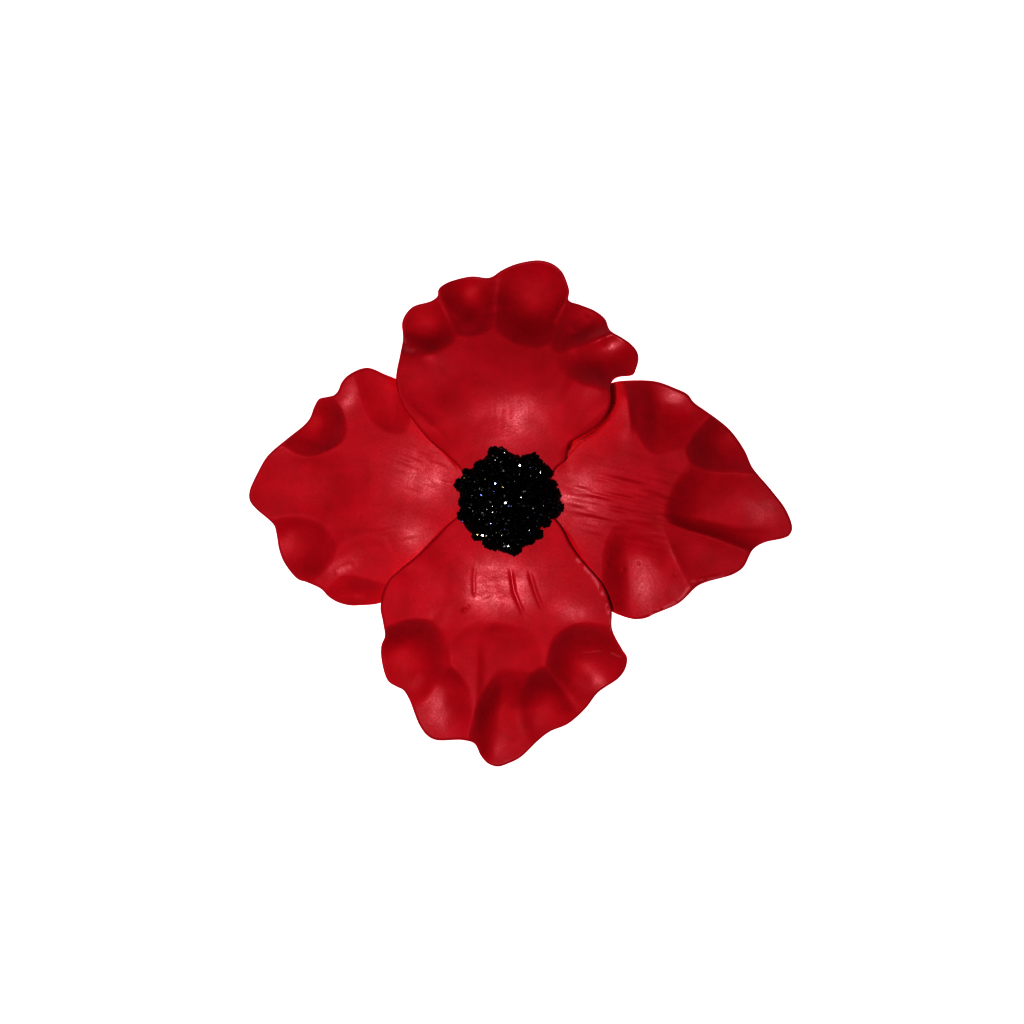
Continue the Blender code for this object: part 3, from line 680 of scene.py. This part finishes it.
def heapCrystals():
    draw = random.Random(mound["seed"])
    rim = smoothOutline(mound["outline"], 120)
    bearings = np.arctan2(rim[:, 1], rim[:, 0])
    order = np.argsort(bearings)
    reaches = np.hypot(*rim.T)

    def reach(bearing):  # of the heap's rim that way
        return float(np.interp(bearing, bearings[order], reaches[order], period=math.tau))

    inset, lowered = mound["core"]
    heap = bmesh.new()
    bmesh.ops.create_uvsphere(heap, u_segments=72, v_segments=20, radius=1)
    for vert in heap.verts:
        wide = reach(math.atan2(vert.co.y, vert.co.x)) - inset
        x = vert.co.x * wide
        y = vert.co.y * wide
        vert.co = (x, y, max(footLevel(x, y), mound["foot"] + vert.co.z * (mound["height"] - lowered)))
    mesh = bpy.data.meshes.new("crystal_mound")
    goldenTurn = math.radians(137.508)
    for i in range(mound["lumps"]):
        share = math.sqrt((i + 0.5) / mound["lumps"])
        angle = goldenTurn * i + draw.uniform(-0.15, 0.15)
        lump = draw.uniform(*mound["lump"])
        edge = reach(math.remainder(angle, math.tau)) - 0.95 * lump  # so that a clot fills out the rim
        level = heapLevel(share) - 0.75 * lump + draw.uniform(-0.2, 0.25)  # and sits uneven, sunk well in
        middle = Vector((edge * share * math.cos(angle), edge * share * math.sin(angle), level))
        clot = bmesh.new()
        addBody(clot, middle, 0.9 * lump, 2, 0.06, 0, draw)
        for _ in range(mound["grains"]):
            way = Vector([draw.gauss(0, 1) for _ in range(3)]).normalized()
            way.z = abs(way.z)  # only the upper side shows
            grain = draw.uniform(*mound["grain"])
            place = middle + way * (lump - 0.4 * grain)
            addBody(clot, place, grain, 1, 0.16, draw.choice(mound["dyes"]), draw)
        clot.to_mesh(mesh)
        clot.free()
        heap.from_mesh(mesh)
    bmesh.ops.scale(heap, vec=(mm, mm, mm), verts=heap.verts)
    heap.to_mesh(mesh)
    heap.free()
    for name, tint in crystalLook["tints"].items():
        mesh.materials.append(crystalGlass(name, tint))
    made = bpy.data.objects.new("crystal_mound", mesh)
    bpy.context.scene.collection.objects.link(made)
    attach(made, "root")
    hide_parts("crystal_centre")
    print("heaped", mound["lumps"], "clots of crystals,", len(mesh.polygons), "faces")


heapCrystals()


studio = {
    "lampPlace": (-13, -9, 160), "lampWidth": 13, "lampPower": 0.26,  # mm, mm, W
    "light": "#ffffff", "fill": 0.06, "contrast": 0.5,  # fill is from all round, contrast a view gamma
    "floor": "#dcdcdc", "floorGlow": 1.15,
    "floorReach": 3000, "floorDrop": 0.02,  # mm, from the middle, and just clear of the foot
    "cameraPlace": (0.67, -1.83, 1000),  # mm
    "frameWidth": 170.67, "frameLevel": 5,  # mm that the picture spans, and at what height
}


def setStudio():
    scene = bpy.context.scene
    scene.view_settings.view_transform = "Standard"
    scene.view_settings.gamma = studio["contrast"]
    shape = bmesh.new()
    bmesh.ops.create_circle(shape, cap_ends=True, segments=128, radius=studio["floorReach"] * mm)
    bmesh.ops.translate(shape, vec=(0, 0, -studio["floorDrop"] * mm), verts=shape.verts)
    mesh = bpy.data.meshes.new("table")
    shape.to_mesh(mesh)
    shape.free()
    table = bpy.data.objects.new("table", mesh)
    scene.collection.objects.link(table)
    # Opal acrylic sheet lit from behind: an even white with no shadow and no visible end.
    made, shader = newMaterial("pale backlit acrylic")
    shader.inputs["Base Color"].default_value = srgb(studio["floor"])
    shader.inputs["Roughness"].default_value = 0.6
    shader.inputs["Emission Color"].default_value = srgb(studio["light"])
    shader.inputs["Emission Strength"].default_value = studio["floorGlow"]
    mesh.materials.append(made)
    lamp = bpy.data.lights.new("key", "AREA")
    lamp.shape = "DISK"
    lamp.size = studio["lampWidth"] * mm
    lamp.energy = studio["lampPower"]
    key = bpy.data.objects.new("key", lamp)
    key.location = Vector(studio["lampPlace"]) * mm
    scene.collection.objects.link(key)
    world = bpy.data.worlds.new("studio")
    world.use_nodes = True
    sky = world.node_tree.nodes["Background"]
    sky.inputs["Color"].default_value = srgb(studio["light"])
    sky.inputs["Strength"].default_value = studio["fill"]
    scene.world = world
    lens = bpy.data.cameras.new("camera")
    lens.sensor_width = 36
    lens.lens = 36 * (studio["cameraPlace"][2] - studio["frameLevel"]) / studio["frameWidth"]
    lens.clip_start = 0.01
    camera = bpy.data.objects.new("camera", lens)
    camera.location = [side * mm for side in studio["cameraPlace"]]
    scene.collection.objects.link(camera)
    scene.camera = camera


setStudio()
print("studio set")
